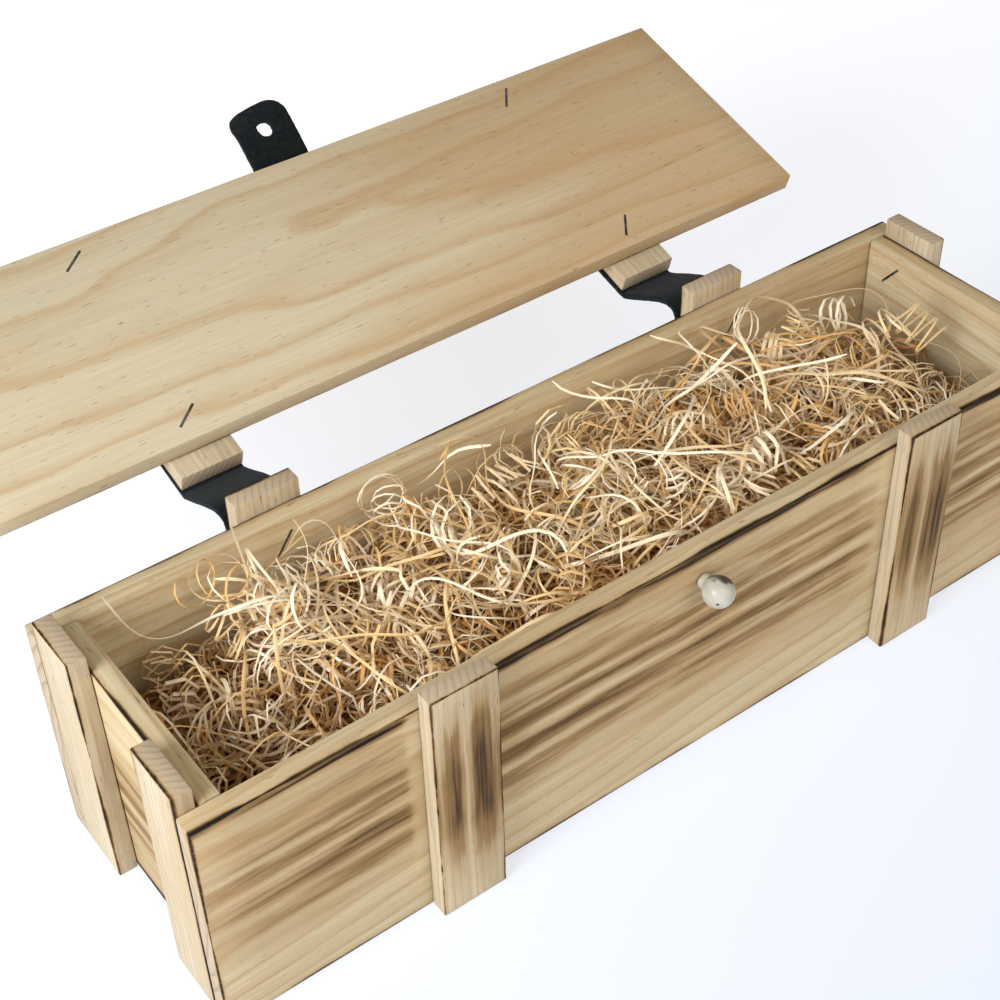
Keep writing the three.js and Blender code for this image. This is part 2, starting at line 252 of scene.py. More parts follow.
def charred_arris():
    """How near a point is to the board's outer arrises, as char from 0 to 1, uneven along them,
    and whether it lies on the outer face or on sawn end grain."""
    tree, given, out = shared_effect(
        "charred arris",
        [("Place", "Vector"), ("Half", "Vector"), ("Number", "Float"), ("Width", "Float")],
        [("Char", "Float"), ("Soot", "Float"), ("Outer face", "Float"), ("End grain", "Float")],
    )
    size = node(tree, "SeparateXYZ", {0: given["Half"]}).outputs
    reach = node(tree, "SeparateXYZ", {0: node(tree, "VectorMath", {0: given["Place"]},
                                               operation="ABSOLUTE").outputs[0]}).outputs
    signed = node(tree, "SeparateXYZ", {0: given["Place"]}).outputs
    to_end = sums(tree, "SUBTRACT", size[0], reach[0])
    to_side = sums(tree, "SUBTRACT", size[1], reach[1])
    to_face = sums(tree, "SUBTRACT", size[2], signed[2])
    edge = sums(tree, "MAXIMUM", sums(tree, "MINIMUM", sums(tree, "MULTIPLY", to_end, 1.8), to_side), to_face)
    shift = node(tree, "CombineXYZ", {0: given["Number"]}).outputs[0]
    place = vectors(tree, "ADD", given["Place"], shift)
    broad = speckle(tree, place, (22, 22, 22), 2)
    fine = speckle(tree, place, (240, 240, 240), 2)
    width = sums(tree, "MULTIPLY", given["Width"], between(tree, broad, 0.35, 0.65, 0.28, 1.5))
    ragged = sums(tree, "MULTIPLY", sums(tree, "SUBTRACT", fine, 0.5), 0.6 * MM)
    edge = sums(tree, "ADD", edge, ragged)
    char = node(tree, "MapRange", {"Value": sums(tree, "DIVIDE", edge, width), "From Min": 0.3,
                                   "From Max": 1.2, "To Min": 1.0, "To Max": 0.0}).outputs[0]
    tree.links.new(char, out["Char"])
    soot = node(tree, "MapRange", {"Value": sums(tree, "DIVIDE", edge, width), "From Min": 0.5,
                                   "From Max": 4.5, "To Min": 1.0, "To Max": 0.0}).outputs[0]
    tree.links.new(sums(tree, "POWER", soot, 2.0), out["Soot"])
    tree.links.new(between(tree, to_face, 0.3 * MM, 0.9 * MM, 1, 0), out["Outer face"])
    tree.links.new(between(tree, to_end, 0.1 * MM, 0.5 * MM, 1, 0), out["End grain"])
    return tree


def torched_pine():
    """Pine of two tones with its rings, fibres and flecks, browned to black by burn 0 to 1."""
    tree, given, out = shared_effect(
        "torched pine",
        [("Pale", "Color"), ("Ring", "Color"), ("Ring strength", "Float"), ("Late wood", "Float"),
         ("Fibre", "Float"), ("Fibre strength", "Float"), ("Fleck", "Float"), ("Cloud", "Float"),
         ("Burn", "Float"), ("End grain", "Float")],
        [("Color", "Color"), ("Roughness", "Float"), ("Height", "Float")],
    )
    cloudy = between(tree, given["Cloud"], 0.3, 0.75, 0.0, 0.52)
    wood = mixed(tree, cloudy, given["Pale"], given["Ring"])
    strength = sums(tree, "MULTIPLY", given["Late wood"], given["Ring strength"])
    wood = mixed(tree, strength, wood, given["Ring"])
    fibre = between(tree, given["Fibre"], 0.25, 0.75, -0.6, 0.4)
    fibre = sums(tree, "ADD", sums(tree, "MULTIPLY", fibre, given["Fibre strength"]), 1.0)
    wood = mixed(tree, 1.0, wood, node(tree, "CombineColor", {0: fibre, 1: fibre, 2: fibre}).outputs[0],
                 "MULTIPLY")
    wood = mixed(tree, sums(tree, "MULTIPLY", given["Fleck"], 0.55), wood, tint(96, 62, 34))
    ends = mixed(tree, strength, tint(184, 163, 134), tint(130, 106, 82))
    wood = mixed(tree, given["End grain"], wood, ends)
    streaky = sums(tree, "MULTIPLY", given["Burn"], between(tree, given["Fibre"], 0.3, 0.7, 0.8, 1.15))
    scorch = ramp(tree, streaky, [(0, tint(196, 168, 124)), (0.3, tint(164, 132, 88)),
                                  (0.6, tint(124, 95, 58)), (0.8, tint(80, 59, 36)),
                                  (1, tint(26, 20, 15))], "LINEAR")
    cover = node(tree, "MapRange", {"Value": streaky, "From Min": 0.0, "From Max": 0.42}).outputs[0]
    wood = mixed(tree, cover, wood, scorch)
    tree.links.new(wood, out["Color"])
    rough = between(tree, given["Burn"], 0, 1, 0.62, 0.85)
    tree.links.new(rough, out["Roughness"])
    height = sums(tree, "MULTIPLY", given["Fibre"], 0.6)
    height = sums(tree, "SUBTRACT", height, sums(tree, "MULTIPLY", given["Fleck"], 0.3))
    sunk = sums(tree, "MULTIPLY", sums(tree, "SUBTRACT", 1.0, given["Late wood"]), given["Burn"])
    height = sums(tree, "SUBTRACT", height, sums(tree, "MULTIPLY", sunk, 0.9))
    tree.links.new(height, out["Height"])
    return tree


FIGURE, ARRIS, TORCHED = pine_figure(), charred_arris(), torched_pine()


def pine_material(name, pale, ring, figure, ring_strength, fibre_strength, arris_width, burn):
    """A pine material: figure sets how the log was sawn, and burn(tree, place, half) gives how
    far the torch has browned the outer face."""
    material = bpy.data.materials.new(name)
    material.use_nodes = True
    tree = material.node_tree
    shader = tree.nodes["Principled BSDF"]
    place = node(tree, "Attribute", attribute_name="board_place").outputs["Vector"]
    half = node(tree, "Attribute", attribute_name="board_half").outputs["Vector"]
    mark = node(tree, "Attribute", attribute_name="board_mark").outputs["Vector"]
    number, flame, _ = node(tree, "SeparateXYZ", {0: mark}).outputs
    grain = node(tree, "Group", node_tree=FIGURE)
    arris = node(tree, "Group", node_tree=ARRIS)
    torched = node(tree, "Group", node_tree=TORCHED)
    for title, value in figure.items():
        grain.inputs[title].default_value = value
    for group, title, source in ((grain, "Place", place), (grain, "Number", number), (arris, "Place", place),
                                 (arris, "Half", half), (arris, "Number", number)):
        tree.links.new(source, group.inputs[title])
    arris.inputs["Width"].default_value = arris_width
    torched.inputs["Pale"].default_value = pale
    torched.inputs["Ring"].default_value = ring
    torched.inputs["Ring strength"].default_value = ring_strength
    torched.inputs["Fibre strength"].default_value = fibre_strength
    for title in ("Late wood", "Fibre", "Fleck", "Cloud"):
        tree.links.new(grain.outputs[title], torched.inputs[title])
    tree.links.new(arris.outputs["End grain"], torched.inputs["End grain"])
    painted = burn(tree, place, half)
    painted = sums(tree, "MULTIPLY", painted, arris.outputs["Outer face"])
    painted = sums(tree, "MULTIPLY", painted, flame)
    sooty = sums(tree, "MULTIPLY", arris.outputs["Soot"], 0.3)
    edge = sums(tree, "MAXIMUM", arris.outputs["Char"], sooty)
    tree.links.new(sums(tree, "MAXIMUM", painted, edge), torched.inputs["Burn"])
    tree.links.new(torched.outputs["Color"], shader.inputs["Base Color"])
    tree.links.new(torched.outputs["Roughness"], shader.inputs["Roughness"])
    bump = node(tree, "Bump", {"Strength": 0.35, "Distance": 0.25 * MM, "Height": torched.outputs["Height"]})
    tree.links.new(bump.outputs["Normal"], shader.inputs["Normal"])
    shader.inputs["Specular IOR Level"].default_value = 0.2
    return material


PANEL_HEIGHT, PANEL_LENGTH = 96.5 * MM, 394 * MM
# Burn across a panel, by millimetres below its top edge: a charred line, passes, then fading.
PASSES = [(0, 1), (2.3, 1), (3.5, 0.45), (5, 0.28), (10, 0.26), (14, 0.4), (17, 0.42), (19.5, 0.24),
          (22.5, 0.46), (26, 0.5), (28.5, 0.24), (30.5, 0.5), (33.5, 0.66), (36, 0.42), (38.5, 0.1),
          (40.5, 0.36), (43, 0.7), (45.5, 0.64), (48.5, 0.4), (50.5, 0.24), (54.5, 0.54), (58, 0.44),
          (62, 0.22), (66, 0.26), (72, 0.08), (84, 0.12), (96.5, 0)]
# Burn along the long panels, by millimetres from their left end: the battens shade three bays.
BAYS = [(0, 0.55), (20, 0.76), (45, 0.94), (66, 1), (73, 0.95), (77, 0.3), (80, 0.15), (106, 0.5),
        (111, 0.92), (150, 0.95), (240, 0.92), (268, 0.84), (279, 0.6), (286, 0.25), (314, 0.4),
        (319, 0.85), (360, 0.9), (394, 0.65)]


def panel_burn(tree, place, half):
    parts = node(tree, "SeparateXYZ", {0: place}).outputs
    size = node(tree, "SeparateXYZ", {0: half}).outputs
    wave = speckle(tree, place, (9, 20, 0), 2)
    ripple = speckle(tree, place, (45, 120, 0), 2)
    below = sums(tree, "SUBTRACT", size[1], parts[1])
    below = sums(tree, "ADD", below, sums(tree, "MULTIPLY", sums(tree, "SUBTRACT", wave, 0.5), 5 * MM))
    below = sums(tree, "ADD", below, sums(tree, "MULTIPLY", sums(tree, "SUBTRACT", ripple, 0.5), 2.2 * MM))
    share = sums(tree, "DIVIDE", below, PANEL_HEIGHT)
    across = ramp(tree, share, [(mm * MM / PANEL_HEIGHT, burn) for mm, burn in PASSES], "EASE")
    along = sums(tree, "DIVIDE", sums(tree, "ADD", parts[0], PANEL_LENGTH / 2), PANEL_LENGTH)
    bays = ramp(tree, along, [(mm * MM / PANEL_LENGTH, burn) for mm, burn in BAYS], "EASE")
    breaks = between(tree, speckle(tree, place, (15, 170, 0), 4, 0.6), 0.36, 0.58, 0.66, 1.14)
    return sums(tree, "MULTIPLY", sums(tree, "MULTIPLY", across, bays), breaks)


PANEL_PINE = pine_material(
    "panel_pine", tint(207, 190, 151), tint(176, 136, 88),
    {"Heart across": 0.012, "Heart depth": 0.07, "Slope": 0.05, "Ring width": 0.0052, "Waver": 0.006},
    0.6, 0.24, 1.35 * MM, panel_burn,
)
RIGHT, BACK, UP = (1, 0, 0), (0, 1, 0), (0, 0, 1)
LEFT, FRONT, DOWN = (-1, 0, 0), (0, -1, 0), (0, 0, -1)
for name, along, outward, number, flame in (
    ("front_panel", RIGHT, FRONT, 1, 1),
    ("back_panel", RIGHT, BACK, 2, 1),
    ("left_end_panel", BACK, LEFT, 3, 0.9),
    ("right_end_panel", FRONT, RIGHT, 4, 0.9),
):
    panel = sawn_board("pine_" + name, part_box(name), along, outward, number, flame)
    panel.data.materials.append(PANEL_PINE)
    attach(panel, "box")
    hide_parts(name)

# ---- The upright battens ----
# Eight pine slats, 26 mm wide, stapled upright outside the panels and standing a lid's
# thickness above them. The torch has burnt two dark columns down the front and back ones.
END_FLAME = 0.12  # the end battens have hardly been torched
# Burn down a batten and across it, by shares of its length and width.
BATTEN_DOWN = [(0, 0.1), (0.1, 0.3), (0.22, 0.66), (0.36, 0.92), (0.56, 0.95), (0.7, 0.6), (0.84, 0.3),
               (0.94, 0.16), (1, 0.1)]
BATTEN_COLUMNS = [(0, 0.5), (0.08, 0.5), (0.18, 0.86), (0.4, 0.84), (0.48, 0.5), (0.53, 0.22), (0.58, 0.5),
                  (0.68, 0.84), (0.82, 0.72), (0.9, 0.45), (1, 0.55)]


def batten_burn(tree, place, half):
    parts = node(tree, "SeparateXYZ", {0: place}).outputs
    size = node(tree, "SeparateXYZ", {0: half}).outputs
    mark = node(tree, "Attribute", attribute_name="board_mark").outputs["Vector"]
    number = node(tree, "SeparateXYZ", {0: mark}).outputs[0]
    shifted = vectors(tree, "ADD", place, node(tree, "CombineXYZ", {1: number, 0: number}).outputs[0])
    streaks = speckle(tree, shifted, (9, 330, 0), 4, 0.65)
    patches = speckle(tree, shifted, (30, 60, 0), 2)
    down = sums(tree, "SUBTRACT", size[0], parts[0])
    down = sums(tree, "DIVIDE", down, sums(tree, "MULTIPLY", size[0], 2.0))
    down = sums(tree, "ADD", down, sums(tree, "MULTIPLY", sums(tree, "SUBTRACT", streaks, 0.5), 0.3))
    over = sums(tree, "ADD", size[1], parts[1])
    over = sums(tree, "DIVIDE", over, sums(tree, "MULTIPLY", size[1], 2.0))
    over = sums(tree, "ADD", over, sums(tree, "MULTIPLY", sums(tree, "SUBTRACT", patches, 0.5), 0.12))
    burn = sums(tree, "MULTIPLY", ramp(tree, down, BATTEN_DOWN, "EASE"),
                ramp(tree, over, BATTEN_COLUMNS, "EASE"))
    return sums(tree, "MULTIPLY", burn, between(tree, streaks, 0.3, 0.6, 0.72, 1.02))


BATTEN_PINE = pine_material(
    "batten_pine", tint(203, 188, 157), tint(170, 136, 98),
    {"Heart across": 0.06, "Heart depth": 0.03, "Slope": 0.02, "Ring width": 0.0026, "Waver": 0.003},
    0.45, 0.24, 0.95 * MM, batten_burn,
)
for place, side, outward, number in (
    ("front", "left", FRONT, 84.9), ("front", "right", FRONT, 86.6),
    ("back", "left", BACK, 88.3), ("back", "right", BACK, 90),
    ("left_end", "front", LEFT, 91.7), ("left_end", "rear", LEFT, 93.4),
    ("right_end", "front", RIGHT, 95.1), ("right_end", "rear", RIGHT, 96.8),
):
    name = f"{place}_{side}_batten"
    flame = END_FLAME if "end" in place else 1
    batten = sawn_board("pine_" + name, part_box(name), UP, outward, number, flame)
    batten.data.materials.append(BATTEN_PINE)
    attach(batten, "box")
    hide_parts(name)

# ---- The lid ----
# One wide pine board with two battens stapled across its outer face. It is built in its closed
# place and swung open about the hinge line, as the CAD lid is.
LID_OPEN = math.radians(163)
hinge = next(joint for joint in frame["joints"] if joint["name"] == "lid_hinge")
hinge_at = Vector(hinge["pos_m"])
SWUNG_OPEN = Matrix.Translation(hinge_at) @ Matrix.Rotation(-LID_OPEN, 4, "X") @ Matrix.Translation(-hinge_at)


def closed_box(name):
    """The lowest and highest corners of a lid node with the lid shut."""
    shut = SWUNG_OPEN.inverted()
    points = np.array([shut @ v.co for v in frame["nodes"][name].data.vertices])
    return Vector(points.min(axis=0)), Vector(points.max(axis=0))


def lid_burn(tree, place, half):
    parts = node(tree, "SeparateXYZ", {0: place}).outputs
    wave = speckle(tree, place, (8, 22, 0), 3)
    over = sums(tree, "ADD", sums(tree, "DIVIDE", parts[1], 0.11), sums(tree, "MULTIPLY", wave, 0.5))
    bands = ramp(tree, sums(tree, "FRACT", sums(tree, "MULTIPLY", over, 3.0)),
                 [(0, 0.1), (0.3, 0.2), (0.5, 0.75), (0.62, 0.8), (0.75, 0.2), (1, 0.1)], "EASE")
    breaks = between(tree, speckle(tree, place, (22, 60, 0), 3), 0.35, 0.6, 0.3, 1.1)
    return sums(tree, "MULTIPLY", bands, breaks)


# The lid's wood is made darker and browner towards its right end by Deepening.
LID_PINE = pine_material(
    "lid_pine", tint(206, 190, 156), tint(182, 139, 86),
    {"Heart across": -0.012, "Heart depth": -0.028, "Slope": 0.06, "Ring width": 0.0125, "Waver": 0.008,
     "Deepening": 2.5},
    0.5, 0.12, 0.7 * MM, lid_burn,
)
lid_panel = sawn_board("pine_lid_panel", closed_box("lid_panel"), RIGHT, UP, 6, 0.8)
lid_panel.data.materials.append(LID_PINE)
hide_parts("lid_panel")
lid_battens = []
for side, number in (("left", 41), ("right", 43)):
    name = f"lid_{side}_batten"
    batten = sawn_board("pine_" + name, closed_box(name), BACK, UP, number, 0.9)
    batten.data.materials.append(BATTEN_PINE)
    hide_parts(name)
    lid_battens.append(batten)
for piece in (lid_panel, *lid_battens):
    piece.data.transform(SWUNG_OPEN)
    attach(piece, "lid")

# ---- The bottom ----
# A plain planed board let in between the four panels; only its underside is ever seen.
PLAIN_PINE = pine_material(
    "plain_pine", tint(210, 188, 150), tint(188, 150, 106),
    {"Heart across": 0.02, "Heart depth": 0.09, "Slope": 0.07, "Ring width": 0.006, "Waver": 0.008},
    0.5, 0.2, 0.3 * MM, lid_burn,
)
bottom = sawn_board("pine_bottom_panel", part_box("bottom_panel"), RIGHT, DOWN, 7, 0)
bottom.data.materials.append(PLAIN_PINE)
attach(bottom, "box")
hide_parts("bottom_panel")

# ---- Staples and the knob's screw ----
# Galvanised steel wire, driven flush from inside; the gun has scuffed their crowns dark.
def metal(name, bright, dull, roughness):
    material = bpy.data.materials.new(name)
    material.use_nodes = True
    tree = material.node_tree
    shader = tree.nodes["Principled BSDF"]
    place = node(tree, "TexCoord").outputs["Object"]
    scuffs = speckle(tree, place, (900, 900, 900), 3)
    tarnish = speckle(tree, place, (160, 160, 160), 3)
    colour = mixed(tree, between(tree, tarnish, 0.35, 0.65), bright, dull)
    tree.links.new(colour, shader.inputs["Base Color"])
    rough = between(tree, scuffs, 0.3, 0.7, roughness - 0.1, roughness + 0.15)
    tree.links.new(rough, shader.inputs["Roughness"])
    bump = node(tree, "Bump", {"Strength": 0.3, "Distance": 0.05 * MM, "Height": scuffs})
    tree.links.new(bump.outputs["Normal"], shader.inputs["Normal"])
    shader.inputs["Metallic"].default_value = 0.9
    return material


STAPLE_WIRE = metal("staple_wire", tint(126, 122, 112), tint(62, 58, 50), 0.5)
SCREW_STEEL = metal("screw_steel", tint(190, 188, 182), tint(120, 118, 112), 0.35)
for name, cad_node in frame["nodes"].items():
    if name.startswith("staple_") or name == "knob_screw":
        cad_node.data.materials.clear()
        cad_node.data.materials.append(SCREW_STEEL if name == "knob_screw" else STAPLE_WIRE)

# ---- The ball knob ----
# A small beech ball turned with a short neck, sanded and waxed; the torch has caught its upper
# right side, and one pin hole from the turning shows low on its left.
KNOB_SIDES = 48
knob_low, knob_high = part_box("knob")
knob_seat = Vector((0, knob_high.y, (knob_low.z + knob_high.z) / 2))
ball_radius = (knob_high.z - knob_low.z) / 2
ball_reach = (knob_high.y - knob_low.y) - ball_radius
neck_radius = 2.9 * MM
neck_turn = math.asin(neck_radius / ball_radius)
turned = bmesh.new()
profile = [(0, 0), (neck_radius - 0.2 * MM, 0), (neck_radius + 0.1 * MM, 0.5 * MM), (neck_radius, 1.3 * MM)]
STEPS = 20
for step in range(1, STEPS):
    turn = neck_turn + (math.pi - neck_turn) * step / STEPS
    profile.append((ball_radius * math.sin(turn), ball_reach - ball_radius * math.cos(turn)))
profile.append((0, ball_reach + ball_radius * 0.994))
line = [turned.verts.new(knob_seat + Vector((radius, -reach, 0))) for radius, reach in profile]
for pair in zip(line, line[1:]):
    turned.edges.new(pair)
knob = bpy.data.objects.new("turned_knob", bpy.data.meshes.new("turned_knob"))
turned.to_mesh(knob.data)
turned.free()
bpy.context.scene.collection.objects.link(knob)
bpy.context.view_layer.objects.active = knob
knob.select_set(True)
bpy.ops.object.mode_set(mode="EDIT")
bpy.ops.mesh.select_all(action="SELECT")
bpy.ops.mesh.spin(steps=KNOB_SIDES, angle=math.tau, center=knob_seat, axis=FRONT)
bpy.ops.mesh.select_all(action="SELECT")
bpy.ops.mesh.remove_doubles(threshold=0.02 * MM)
bpy.ops.mesh.normals_make_consistent(inside=False)
bpy.ops.object.mode_set(mode="OBJECT")
bpy.ops.object.shade_smooth_by_angle(angle=math.radians(50))
KNOB_WOOD = bpy.data.materials.new("knob_wood")
KNOB_WOOD.use_nodes = True
tree = KNOB_WOOD.node_tree
shader = tree.nodes["Principled BSDF"]
place = node(tree, "TexCoord").outputs["Object"]
centred = vectors(tree, "SUBTRACT", place, tuple(knob_seat))
fleck = speckle(tree, centred, (1500, 260, 1500), 3, 0.6)
rays = speckle(tree, centred, (260, 160, 260), 2)
wood = mixed(tree, between(tree, rays, 0.2, 0.8), tint(190, 184, 166), tint(170, 161, 140))
wood = mixed(tree, between(tree, fleck, 0.6, 0.8, 0, 0.2), wood, tint(140, 120, 96))
parts = node(tree, "SeparateXYZ", {0: centred}).outputs
from_middle = vectors(tree, "SUBTRACT", centred, (0, -ball_reach, 0))
torch_side = node(tree, "VectorMath", {0: from_middle, 1: (0.66, 0.3, 0.69)}, operation="DOT_PRODUCT")
ragged = sums(tree, "SUBTRACT", speckle(tree, centred, (700, 260, 500), 3), 0.5)
ragged = sums(tree, "MULTIPLY", ragged, 5 * MM)
rim = node(tree, "VectorMath", {0: centred, 1: (0, -ball_reach, 0)}, operation="DISTANCE").outputs["Value"]
torch_side = sums(tree, "ADD", torch_side.outputs["Value"], ragged)
on_ball = between(tree, rim, ball_radius * 1.02, ball_radius * 1.1, 1, 0)
caught = sums(tree, "MULTIPLY", between(tree, torch_side, 2.7 * MM, 4.4 * MM), on_ball)
wood = mixed(tree, sums(tree, "MULTIPLY", caught, 0.95), wood, tint(44, 33, 24))
pin_at = Vector((0, -ball_reach, 0)) + ball_radius * Vector((-0.7, -0.7, -0.1))
pin = node(tree, "VectorMath", {0: centred, 1: tuple(pin_at)}, operation="DISTANCE").outputs["Value"]
wood = mixed(tree, between(tree, pin, 0.35 * MM, 0.75 * MM, 1, 0), wood, tint(38, 30, 24))
# Painted shade: a dark ring at the neck's foot, where the knob meets the panel.
wood = mixed(tree, between(tree, parts[1], -0.9 * MM, -0.1 * MM, 0, 0.7), wood, tint(60, 45, 32))
tree.links.new(wood, shader.inputs["Base Color"])
tree.links.new(between(tree, fleck, 0.3, 0.7, 0.32, 0.5), shader.inputs["Roughness"])
bump = node(tree, "Bump", {"Strength": 0.2, "Distance": 0.1 * MM, "Height": fleck})
tree.links.new(bump.outputs["Normal"], shader.inputs["Normal"])
shader.inputs["Coat Weight"].default_value = 0.25
shader.inputs["Coat Roughness"].default_value = 0.25
knob.data.materials.append(KNOB_WOOD)
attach(knob, "box")
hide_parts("knob")
knob.select_set(False)

# ---- The felt hinge straps ----
# Two 26 mm strips of 3 mm black needle felt. Each is stapled up the outside of a back batten,
# stands over its top in a slack bend, and lies along the lid batten's outer face.
FELT = 3 * MM
STRAP_WIDTH = 26 * MM
FUZZ = 0.16 * MM
SEAM = 0.3 * MM  # between the felt and what it lies on
STRAP_FOOT, STRAP_BEND = 24 * MM, 84 * MM  # heights of its lower end and of where its slack starts
STRAP_ON_LID = 48 * MM  # how far it reaches over the lid batten
STRAP_RISE = 16 * MM  # how far its slack stands up before it turns


def felt_material():
    """Black needle felt: matted fibres at two scales, a soft sheen, and a few pale lint hairs."""
    material = bpy.data.materials.new("felt")
    material.use_nodes = True
    tree = material.node_tree
    shader = tree.nodes["Principled BSDF"]
    place = node(tree, "Attribute", attribute_name="felt_place").outputs["Vector"]
    matted = speckle(tree, place, (420, 420, 420), 4, 0.65)
    fibres = node(tree, "TexVoronoi", {"Vector": place, "Scale": 1300.0, "Randomness": 1.0},
                  feature="DISTANCE_TO_EDGE").outputs["Distance"]
    strands = speckle(tree, place, (2200, 500, 900), 3, 0.7)
    tufts = speckle(tree, place, (110, 110, 110), 3)
    colour = mixed(tree, between(tree, matted, 0.35, 0.65), tint(5, 7, 8), tint(20, 26, 26))
    colour = mixed(tree, between(tree, tufts, 0.4, 0.7, 0, 0.5), colour, tint(12, 22, 22))
    colour = mixed(tree, between(tree, strands, 0.62, 0.76, 0, 0.45), colour, tint(62, 72, 74))
    tree.links.new(colour, shader.inputs["Base Color"])
    tree.links.new(between(tree, matted, 0.3, 0.7, 0.85, 1.0), shader.inputs["Roughness"])
    height = sums(tree, "ADD", matted, sums(tree, "MULTIPLY", strands, 0.6))
    height = sums(tree, "ADD", height, sums(tree, "MULTIPLY", fibres, 0.5))
    bump = node(tree, "Bump", {"Strength": 0.7, "Distance": 0.5 * MM, "Height": height})
    tree.links.new(bump.outputs["Normal"], shader.inputs["Normal"])
    shader.inputs["Specular IOR Level"].default_value = 0.08
    shader.inputs["Sheen Weight"].default_value = 0.06
    shader.inputs["Sheen Roughness"].default_value = 0.6
    return material


FELT_BLACK = felt_material()


def cut_strip(name, width, length, steps):
    """A flat strip of felt as a fine grid: X across it, Y from 0 along it."""
    bpy.ops.mesh.primitive_grid_add(x_subdivisions=14, y_subdivisions=steps, size=1,
                                    location=(0, length / 2, 0))
    strip = bpy.context.object
    strip.name = name
    strip.scale = (width, length, 1)
    bpy.ops.object.transform_apply(location=True, rotation=True, scale=True)
    return strip


def mark_felt(strip):
    flat = np.array([v.co for v in strip.data.vertices], np.float32)
    layer = strip.data.attributes.new("felt_place", "FLOAT_VECTOR", "POINT")
    layer.data.foreach_set("vector", flat.ravel())


def thicken_felt(strip, seed):
    """Gives the strip its thickness, rounded edges and a lightly fuzzed surface."""
    thick = strip.modifiers.new("felt thickness", "SOLIDIFY")
    thick.thickness = FELT - 2 * FUZZ
    thick.offset = 0
    thick.use_even_offset = True
    bpy.ops.object.modifier_apply(modifier=thick.name)
    round_off = strip.modifiers.new("rubbed edges", "BEVEL")
    round_off.width = 0.7 * MM
    round_off.segments = 3
    round_off.limit_method = "ANGLE"
    round_off.angle_limit = math.radians(50)
    bpy.ops.object.modifier_apply(modifier=round_off.name)
    normals = [v.normal.copy() for v in strip.data.vertices]
    for vertex, normal in zip(strip.data.vertices, normals):
        vertex.co += normal * FUZZ * noise.noise(vertex.co * 900 + Vector((seed, 0, 0)))
    bpy.ops.object.shade_smooth_by_angle(angle=math.radians(60))
    strip.data.materials.append(FELT_BLACK)
    strip.select_set(False)


def swing(y, z):
    """A point of the shut lid, by its Y and Z, in its open place."""
    return (SWUNG_OPEN @ Vector((0, y, z))).yz


batten_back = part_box("back_left_batten")[1].y
lid_batten_high = closed_box("lid_left_batten")[1]
strap_y = batten_back + SEAM + FELT / 2
strap_z = lid_batten_high.z + SEAM + FELT / 2
foot, leaves = Vector((strap_y, STRAP_FOOT)), Vector((strap_y, STRAP_BEND))
lands = swing(lid_batten_high.y + 1.2 * MM, strap_z)
ends = swing(lid_batten_high.y - STRAP_ON_LID, strap_z)
arc_from = leaves + Vector((0, STRAP_RISE))
arc_to = lands + Vector((-15 * MM, 5.5 * MM))
ARC_STEPS = 40
route = [foot.lerp(leaves, k / 30) for k in range(30)]
for k in range(ARC_STEPS + 1):
    t = k / ARC_STEPS
    a, b, c, d = (1 - t) ** 3, 3 * t * (1 - t) ** 2, 3 * t * t * (1 - t), t ** 3
    route.append(leaves * a + arc_from * b + arc_to * c + lands * d)
route += [lands.lerp(ends, k / 24) for k in range(1, 25)]
route = np.array(route)
run = np.concatenate([[0], np.cumsum(np.linalg.norm(np.diff(route, axis=0), axis=1))])
strap_length = float(run[-1])
for side, sign in (("left", -1), ("right", 1)):
    middle_x = (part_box(f"back_{side}_batten")[0].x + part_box(f"back_{side}_batten")[1].x) / 2
    strap = cut_strip(f"felt_hinge_strap_{side}", STRAP_WIDTH, strap_length, 88)
    mark_felt(strap)
    for vertex in strap.data.vertices:
        x, s = vertex.co.x, vertex.co.y
        y = np.interp(s, run, route[:, 0])
        z = np.interp(s, run, route[:, 1])
        vertex.co = Vector((middle_x + x, y, z))
    thicken_felt(strap, 5 * sign)
    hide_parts(f"hinge_strap_{side}")
    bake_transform(strap)

# ---- The closing strap ----
# A third strip of the same felt, laid on the lid's outer face. Its free end hangs over the front,
# has rounded corners, one of them curled up, and buttons over the knob through a punched hole.
root_low, root_high = closed_box("closing_strap_root")
fold = next(joint for joint in frame["joints"] if joint["name"] == "tab_fold")
fold_at = Vector(fold["pos_m"])
CURL = math.radians(25)
TAB_LENGTH = 32.5 * MM
TAB_FLAT = 17 * MM  # of its length; the rest has curled outwards, one corner more than the other
CURLED_CORNER, FLAT_CORNER = math.radians(62), math.radians(6)
TAB_CORNER = 8 * MM
HOLE_AT, HOLE_RADIUS = 20.5 * MM, 3.3 * MM
root_length = root_high.y - root_low.y + SEAM
closing = cut_strip("felt_closing_strap", STRAP_WIDTH, root_length + TAB_LENGTH, 64)
HALF = STRAP_WIDTH / 2
for vertex in closing.data.vertices:
    corner = Vector((HALF - TAB_CORNER, root_length + TAB_LENGTH - TAB_CORNER))
    x, y = abs(vertex.co.x), vertex.co.y
    if x > corner.x and y > corner.y:
        out = Vector((x, y)) - corner
        square = max(out.x, out.y)
        if out.length > 0:
            out = out.normalized() * square
        vertex.co.x = math.copysign(corner.x + out.x, vertex.co.x)
        vertex.co.y = corner.y + out.y
hole_at = Vector((0, root_length + HOLE_AT, 0))
bpy.ops.object.mode_set(mode="EDIT")
strip_mesh = bmesh.from_edit_mesh(closing.data)
bpy.ops.mesh.select_mode(type="FACE")
bpy.ops.mesh.select_all(action="DESELECT")
for face in strip_mesh.faces:
    face.select_set((face.calc_center_median() - hole_at).length < HOLE_RADIUS)
bmesh.update_edit_mesh(closing.data)
bpy.ops.mesh.delete(type="FACE")
strip_mesh = bmesh.from_edit_mesh(closing.data)
for vertex in strip_mesh.verts:
    out = vertex.co - hole_at
    if vertex.is_boundary and out.length < 2 * HOLE_RADIUS:
        vertex.co = hole_at + out.normalized() * HOLE_RADIUS * (1.0 + 0.08 * abs(out.y) / out.length)
bmesh.update_edit_mesh(closing.data)
bpy.ops.object.mode_set(mode="OBJECT")
